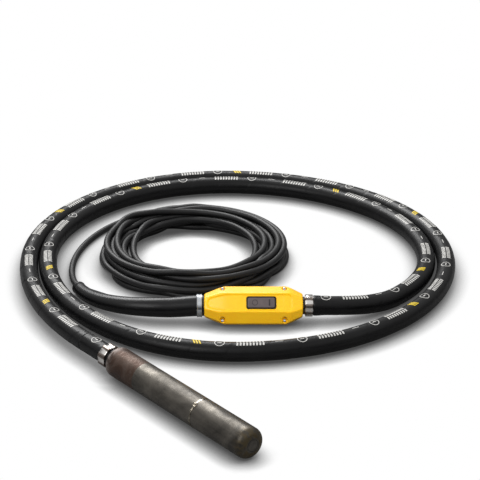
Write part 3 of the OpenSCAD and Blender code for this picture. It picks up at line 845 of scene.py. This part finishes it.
def crimped_ring(path, first, last, flats_at):
    """Eight-sided crimped ferrule with rounded shoulders, as rings of [s, radius, share]."""
    bore = HOSE_R + FIT_GAP
    profile = [
        (first, bore + 0.6), (first, flats_at - 1.2, 0.2), (first + 0.4, flats_at - 0.5, 0.7),
        (first + 1.1, flats_at, 1), (last - 1.1, flats_at, 1), (last - 0.4, flats_at - 0.5, 0.7),
        (last, flats_at - 1.2, 0.2), (last, bore + 0.6), (last - 0.6, bore), (first + 0.6, bore)
    ]
    return revolve(path, profile, 96, flats=8)


def rounded_ring(path, first, last, outer, inner, edge):
    """Plain ring with rounded outer edges."""
    quarter = np.radians([0, 30, 60, 90])
    rise = [(first + edge - edge * math.cos(a), outer - edge + edge * math.sin(a)) for a in quarter]
    fall = [(last - edge + edge * math.sin(a), outer - edge + edge * math.cos(a)) for a in quarter]
    return revolve(path, rise + fall + [(last, inner), (first, inner)], 64)


def make_fittings():
    inner = CASE_LEN / 2 + NECK_GAP
    outer = CASE_LEN / 2 + NECK_LEN + NECK_GAP
    add_sharp("head_crimp", crimped_ring(behind_head, 10, 29.5, 22), "crimp_steel", "head",
              "head_ferrule")
    add_sharp("housing_crimp", crimped_ring(case_right, outer, outer + FERRULE_LEN, 20.2),
              "crimp_steel", "line", "case_ferrule")
    add_sharp("right_collar", rounded_ring(case_right, inner, outer - NECK_GAP, 17.5, 12.5, 0.8),
              "seal_rubber", "line", "right_neck_ring")
    add_sharp("left_collar", rounded_ring(case_left, inner, outer - NECK_GAP, 20.5, 14.1, 0.8),
              "seal_rubber", "line", "left_neck_ring")
    last = outer + BAND_LEN
    bore = SLEEVE_R + FIT_GAP
    band = [(outer, 22.4), (outer + 0.4, 23), (outer + 1.5, 23), (outer + 2, 22.5),
            (last - 2, 22.5), (last - 1.5, 23), (last - 0.4, 23), (last, 22.4),
            (last, bore), (outer, bore)]
    add_sharp("zinc_band", revolve(case_left, band, 80), "zinc_steel", "line", "clamp_band")


# ---- weld seam on the head ----
BLOB_ANGLE = math.radians(90 + 34)
SEAM_DEPTH = 5.8        # how far the seam reaches into the head's wall


def make_weld():
    """Two low ridges with a groove, ground away over the top, ending in a blob."""
    sides = 120
    angle = round_angles(sides) % TAU
    shown = step_up(angle, math.radians(116), math.radians(124))
    shown = shown * step_up(-angle, -4.9, -4.2)
    ripple = 1 + 0.18 * np.sin(angle * 43) + 0.1 * np.sin(angle * 19 + 1)
    across = [(-1.6, 0), (-1.3, 0.1), (-0.95, 0.32), (-0.6, 0.1), (0, -0.2), (0.6, 0.1),
              (0.95, 0.32), (1.3, 0.1), (1.6, 0)]
    s = [WELD_X + a[0] for a in across] + [WELD_X + 1, WELD_X - 1]
    height = np.array([a[1] for a in across])[:, None] * shown * ripple
    inner = np.full((2, sides), HEAD_R - SEAM_DEPTH)
    radius = np.concatenate([HEAD_R + 0.04 + height, inner])
    seam = skin(rings_along(along_the_head, np.array(s), radius, sides), np.arange(len(s)) * MM,
                closed=True)
    centre, side, up = along_the_head.at(np.array([WELD_X + 0.5]))
    out = math.cos(BLOB_ANGLE) * side[0] + math.sin(BLOB_ANGLE) * up[0]
    foot = centre[0] + out * HEAD_R
    blob_path = Path([foot - out * 3, foot + out * 3])
    round_angle = round_angles(28)
    lumps = 1 + 0.12 * np.sin(3 * round_angle + 0.6) + 0.06 * np.sin(5 * round_angle)
    heights = np.array([1.4, 2.6, 3.3, 3.9, 4.3, 4.4, 4.1, 3.6])
    radii = np.array([6.0, 5.6, 5.1, 4.4, 3.5, 2.6, 1.7, 0.7])
    blob = rod(blob_path, heights, radii[:, None] * lumps, 28)
    add_sharp("weld_seam", joined([seam, blob]), "weld_metal", "head", "weld_bead", degrees=60)


# ---- switch housing ----
def soft_least(values, softness):
    total = sum(np.exp(-np.asarray(v) / softness) for v in values)
    return -softness * np.log(total)


TAPER_LEFT = 39
TAPER_RIGHT = 32
WALL = 3.6
NOTCH_R = 5.2
SCREW_HOLE_R = 2.3
VOXEL = 0.8


def face_distance(x, full, end, less, softness):
    """Half width of the housing at x: straight, with a taper at both ends, shorter by less."""
    left, right = TAPER_LEFT - less, TAPER_RIGHT - less
    half = CASE_LEN / 2
    return soft_least([full + 0 * x, end + (x + half) * (full - end) / left,
                       end + (half - x) * (full - end) / right], softness)


def box_distance(x, y, half_x, half_y, corner):
    """Signed distance from the rim of a rectangle with round corners."""
    dx, dy = np.abs(x) - half_x + corner, np.abs(y) - half_y + corner
    outside = np.hypot(np.maximum(dx, 0), np.maximum(dy, 0))
    return outside + np.minimum(np.maximum(dx, dy), 0) - corner


def case_loft(wall=0.0, dished=True):
    """Outside of the housing in its own frame, or its hollow when wall is positive."""
    half = CASE_LEN / 2 - wall
    edge = 2.6
    bend = np.sin(np.radians([0, 20, 40, 60, 75, 90]))
    x = np.concatenate([-half + edge * (1 - bend[::-1]), np.arange(-half + 3.2, half - 3, 1.4),
                        half - edge * (1 - bend)])
    inset = edge - np.sqrt(np.maximum(edge ** 2 - np.maximum(np.abs(x) - half + edge, 0) ** 2, 0))
    side = face_distance(x, CASE_HALF_W, 22, 0, 0.5) - wall - inset
    front = face_distance(x, CASE_HALF_T, 21, 0, 1.6) - wall - inset
    chamfer = face_distance(x, case_pos[2], 21.5, 7, 1.2) - wall - inset
    angle = TAU * np.arange(160) / 160
    total = 0
    slope = 90 - CHAMFER_TURN
    for i, turn in enumerate((0, slope, 90, 180 - slope, 180, 180 + slope, 270, 360 - slope)):
        face = (side, chamfer, front, chamfer)[i % 4]
        cosine = np.maximum(0, np.cos(angle - math.radians(turn)))
        total = total + (cosine[None, :] / face[:, None]) ** SHARPNESS
    radius = total ** (-1 / SHARPNESS)
    y, z = radius * np.cos(angle), radius * np.sin(angle)
    if dished:
        narrow = 17.2 - 7.0 * step_up(-x, 48, 96)[:, None]
        panel = box_distance(x[:, None] + 7.5, y, 83.5, narrow, 9.5)
        well = box_distance(x[:, None] - 17, y, 45, 15.8, 12)
        depth = 2.4 * step_up(-panel, -0.4, 2.5) + 0.7 * step_up(-well, 0, 5.5)
        z = np.where(z > 0, z - depth, z)
    rings = np.stack([np.repeat(x[:, None], len(angle), 1), y, z], -1)
    return skin(rings, x * MM)


def block(low, high):
    """Box between two corners, without UVs."""
    corners = np.array([[(low, high)[i >> a & 1][a] for a in range(3)] for i in range(8)], float)
    faces = [(0, 2, 3, 1), (4, 5, 7, 6), (0, 1, 5, 4), (2, 6, 7, 3), (0, 4, 6, 2), (1, 3, 7, 5)]
    return corners, faces, None


def upright(x, y, low, high, radius, sides=48):
    """Cylinder along the housing's own Z."""
    return rod(Path([(x, y, low), (x, y + 1e-4, high)]), np.array([0, high - low]),
               [radius, radius], sides)


def lengthwise(x0, x1, radius):
    """Cylinder along the housing's own X."""
    return rod(Path([(x0, 0, 0), (x1, 0, 0)]), np.array([0, x1 - x0]), [radius, radius], 72)


def rounded_outline(half_l, half_w, corner, z):
    corner = min(corner, half_l, half_w)
    points = []
    for quarter, (sx, sy) in enumerate(((1, 1), (-1, 1), (-1, -1), (1, -1))):
        for a in np.linspace(0, TAU / 4, 9):
            turn = a + quarter * TAU / 4
            points.append((sx * (half_l - corner) + corner * math.cos(turn),
                           sy * (half_w - corner) + corner * math.sin(turn), z))
    return points


def plate(half_l, half_w, corner, levels, x, closed=False):
    """Solid round (x, 0) from rounded outlines; levels lists [inset, z]."""
    rings = np.array([rounded_outline(half_l - inset, half_w - inset, max(0.3, corner - inset), z)
                      for inset, z in levels]) + [x, 0, 0]
    return skin(rings, np.arange(len(levels)) * MM, closed)


def carved(solid, cutters):
    """Cuts closed solids out of a solid and rounds the edges off."""
    base, *tools = [mesh_object("tool", *s[:2]) for s in (solid, *cutters)]
    for tool in tools:
        cut = base.modifiers.new("cut", "BOOLEAN")
        cut.operation = "DIFFERENCE"
        cut.solver = "MANIFOLD"
        cut.object = tool
    remesh = base.modifiers.new("even", "REMESH")
    remesh.mode = "VOXEL"
    remesh.voxel_size = VOXEL * MM
    soften = base.modifiers.new("soft", "SMOOTH")
    soften.iterations = 2
    graph = bpy.context.evaluated_depsgraph_get()
    mesh = bpy.data.meshes.new_from_object(base.evaluated_get(graph))
    points = np.empty(len(mesh.vertices) * 3)
    mesh.vertices.foreach_get("co", points)
    faces = [tuple(p.vertices) for p in mesh.polygons]
    for thing in [base] + tools:
        bpy.data.objects.remove(thing)
    return points.reshape(-1, 3) / MM, faces, None


screw_places = [(x, y) for x in (-SCREW_X, SCREW_X) for y in (-SCREW_Y, SCREW_Y)]


def make_housing():
    """Two covers that meet in a narrow seam, with the screws' notches and the switch's opening."""
    far = 200
    points, faces, uvs = case_loft(WALL, dished=False)
    core = (points * [1, 0.68, 0.86], faces, uvs)       # narrow, so the screws stand in plastic
    bores = [lengthwise(50, 110, 12.7), lengthwise(-110, -50, 14.3)]    # for hose and sleeve
    pocket = plate(29.05, 12.5, 4, [(0, 10), (0, 40)], SWITCH_X)
    notches = [upright(x, y, SCREW_SEAT, 40, NOTCH_R) for x, y in screw_places]
    holes = [upright(x, y, -SCREW_END - 0.5, 12, SCREW_HOLE_R, 24) for x, y in screw_places]
    behind = block((-far, -far, -far), (far, far, -0.3))
    before = block((-far, -far, -0.7), (far, far, far))
    outside = case_loft()
    front = carved(outside, [behind] + bores + [core, pocket] + notches + holes)
    rear = carved(outside, [before] + bores + [core] + holes)
    add_piece("front_cover", in_case(front), "shell_plastic", "line", "front_shell")
    add_piece("rear_cover", in_case(rear), "shell_plastic", "line", "rear_shell")


def make_screws():
    """Button-head screws with a six-sided socket, standing in their notches."""
    sides = 36
    seat = SCREW_END + SCREW_SEAT
    s = np.array([0, seat, seat + 0.1, seat + 0.6, seat + 2.7, seat + 3.5, seat + 4, seat + 4.1,
                  seat + 3.9, seat + 2.1])
    radius = np.array([2, 2, 3.3, 3.5, 3.5, 3.15, 2.5, 2.1, 1.9, 1.8])[:, None] * np.ones(sides)
    radius[-3:] *= polygon_rim(round_angles(sides), 6)
    parts = [rod(Path([(x, y, -SCREW_END), (x, y + 1e-4, 30 - SCREW_END)]), s, radius, sides)
             for x, y in screw_places]
    add_sharp("housing_screws", in_case(joined(parts)), "screw_steel", "line", "case_screws",
              30)


def make_switch():
    """Black bezel, grey rocker, and its ring and bar for off and on."""
    levels = [(0, 20), (0, 28.4), (0.25, 28.95), (0.8, 29.2), (1.3, 29.1), (1.55, 28.6), (1.55, 20)]
    bezel = plate(28.75, 12.2, 4.2, levels, SWITCH_X, closed=True)
    add_sharp("bezel_frame", in_case(bezel), "black_plastic", "line", "switch_bezel")
    levels = [(0, 22.5), (0, 28.2), (0.2, 28.65), (0.6, 28.95), (1.2, 29.1), (2.6, 29.12),
              (6, 29.02), (9.8, 28.98)]
    key = plate(26.6, 10.2, 3.4, levels, SWITCH_X)
    add_sharp("rocker_key", in_case(key), "rocker_plastic", "rocker", "switch_rocker")
    centre = Path([(SWITCH_X - 12.3, 0, 28.8), (SWITCH_X - 12.3, 1e-4, 30)])
    off = revolve(centre, [(0, 5.9), (0.32, 5.8), (0.32, 4.7), (0, 4.6)], 48)
    on = plate(1.5, 6.3, 0.5, [(0, 28.8), (0, 29.1), (0.15, 29.18)], SWITCH_X + 16)
    add_sharp("rocker_symbols", in_case(joined([off, on])), "mark_plastic", "rocker")


# ---- carried-over CAD nodes ----
def dress_nodes():
    """Gives every CAD node that stays in view, or inside, its full material."""
    looks_of = {
        "head_steel": ["head_tube"],
        "tip_section_steel": ["tip_section"],
        "tip_steel": ["tip_plug"],
        "burnt_steel": ["rear_connector"],
        "seal_rubber": ["connector_o_ring", "case_gasket"],
        "motor_iron": ["stator_core", "rotor_core"],
        "winding_copper": ["stator_windings"],
        "bearing_steel": ["rotor_shaft", "shaft_circlips", "rear_outer_ring", "rear_inner_ring",
                          "rear_rollers", "front_outer_ring", "front_inner_ring",
                          "front_rollers", "head_nipple", "case_nipple", "sleeve_nipple"],
        "cage_brass": ["rear_cage", "front_cage", "switch_terminals"],
        "weight_steel": ["eccentric_weight"],
        "cable_rubber": ["head_lead", "hose_lead_cable"],
        "black_plastic": ["switch_body", "strain_relief"],
        "zinc_steel": ["rocker_pin"],
    }
    for look, nodes in looks_of.items():
        for name in nodes:
            node = frame["nodes"][name]
            for place in node.material_slots:
                place.material = looks[look]


# ---- stage ----
def make_stage():
    """Pale floor that shows the camera only its glow, with soft contact shadows painted into it,
    and gives off a little bounced light to everything else."""
    far = 30000
    floor = mesh_object("floor", [(-far, -far, 0), (far, -far, 0), (far, far, 0), (-far, far, 0)],
                        [(0, 1, 2, 3)])
    s = Shader("floor_paint")
    seen = s.node("ShaderNodeLightPath", out="Is Camera Ray")
    towards_key = s.node("ShaderNodeCombineXYZ", {"X": -0.05, "Y": 0.50, "Z": 0.86})
    open_sky = s.node("ShaderNodeAmbientOcclusion", {"Distance": 0.042, "Normal": towards_key},
                      out="AO", samples=16)
    # painted shadow: the glow darkens where the occlusion test, leaned towards the key light, meets
    # a piece
    shade = s.ramp(open_sky, (0.20, 0.07), (0.50, 0.27), (0.75, 0.68), (0.91, 1.0))
    bounce = s.mix(seen, (0.28, 0.28, 0.28), (0, 0, 0))
    glow = {"Emission Color": shade, "Emission Strength": seen, "Specular IOR Level": 0.0}
    floor.data.materials.append(s.done(bounce, 0.9, **glow))


def add_light(name, place, target, size, power):
    lamp = bpy.data.lights.new(name, "AREA")
    lamp.shape = "RECTANGLE"
    lamp.size, lamp.size_y = size
    lamp.energy = power
    thing = linked(bpy.data.objects.new(name, lamp))
    thing.location = place
    thing.rotation_euler = (Vector(target) - Vector(place)).to_track_quat("-Z", "Y").to_euler()
    return thing


def make_lights():
    """White sky, dim at the horizon, a key light from behind, a fill, and one for the housing."""
    world = bpy.data.worlds.new("studio")
    world.use_nodes = True
    tree = world.node_tree
    where = tree.nodes.new("ShaderNodeTexCoord")
    parts = tree.nodes.new("ShaderNodeSeparateXYZ")
    height = tree.nodes.new("ShaderNodeMapRange")
    tree.links.new(where.outputs["Generated"], parts.inputs[0])
    tree.links.new(parts.outputs["Z"], height.inputs["Value"])
    for key, value in (("From Min", 0.10), ("From Max", 0.60), ("To Min", 0.09), ("To Max", 0.72)):
        height.inputs[key].default_value = value
    tree.links.new(height.outputs[0], tree.nodes["Background"].inputs["Strength"])
    tree.nodes["Background"].inputs["Color"].default_value = (1, 1, 1, 1)
    bpy.context.scene.world = world
    add_light("key_behind", (-1.4, 3.6, 3.5), (0, 0, 0), (3.0, 2.0), 200)
    add_light("fill_front", (-1.8, -2.2, 2.2), (0, 0, 0), (1.6, 1.6), 26)
    on_panel = add_light("housing_front", (0.2, -2.5, 1.8), (0.03, -0.08, 0.03), (1.0, 0.8), 52)
    lit = bpy.data.collections.new("lit_by_housing_front")
    for name in ("front_cover", "rear_cover"):
        lit.objects.link(bpy.data.objects[name])
    on_panel.light_linking.receiver_collection = lit
    on_panel.visible_glossy = False
    bpy.context.scene.view_settings.view_transform = "Standard"


def make_camera():
    """Camera at the photograph's viewing angle."""
    data = bpy.data.cameras.new("camera")
    data.lens = 142.5
    data.sensor_width = 36
    camera = linked(bpy.data.objects.new("camera", data))
    camera.location = (0.00494, -3.41066, 1.6914)
    camera.rotation_euler = (math.radians(65.522), 0, 0)
    bpy.context.scene.camera = camera


make_hose()
make_hose_bend()
make_hose_print()
make_cable()
make_sleeve()
make_fittings()
make_weld()
make_housing()
make_screws()
make_switch()
dress_nodes()
make_stage()
make_lights()
make_camera()
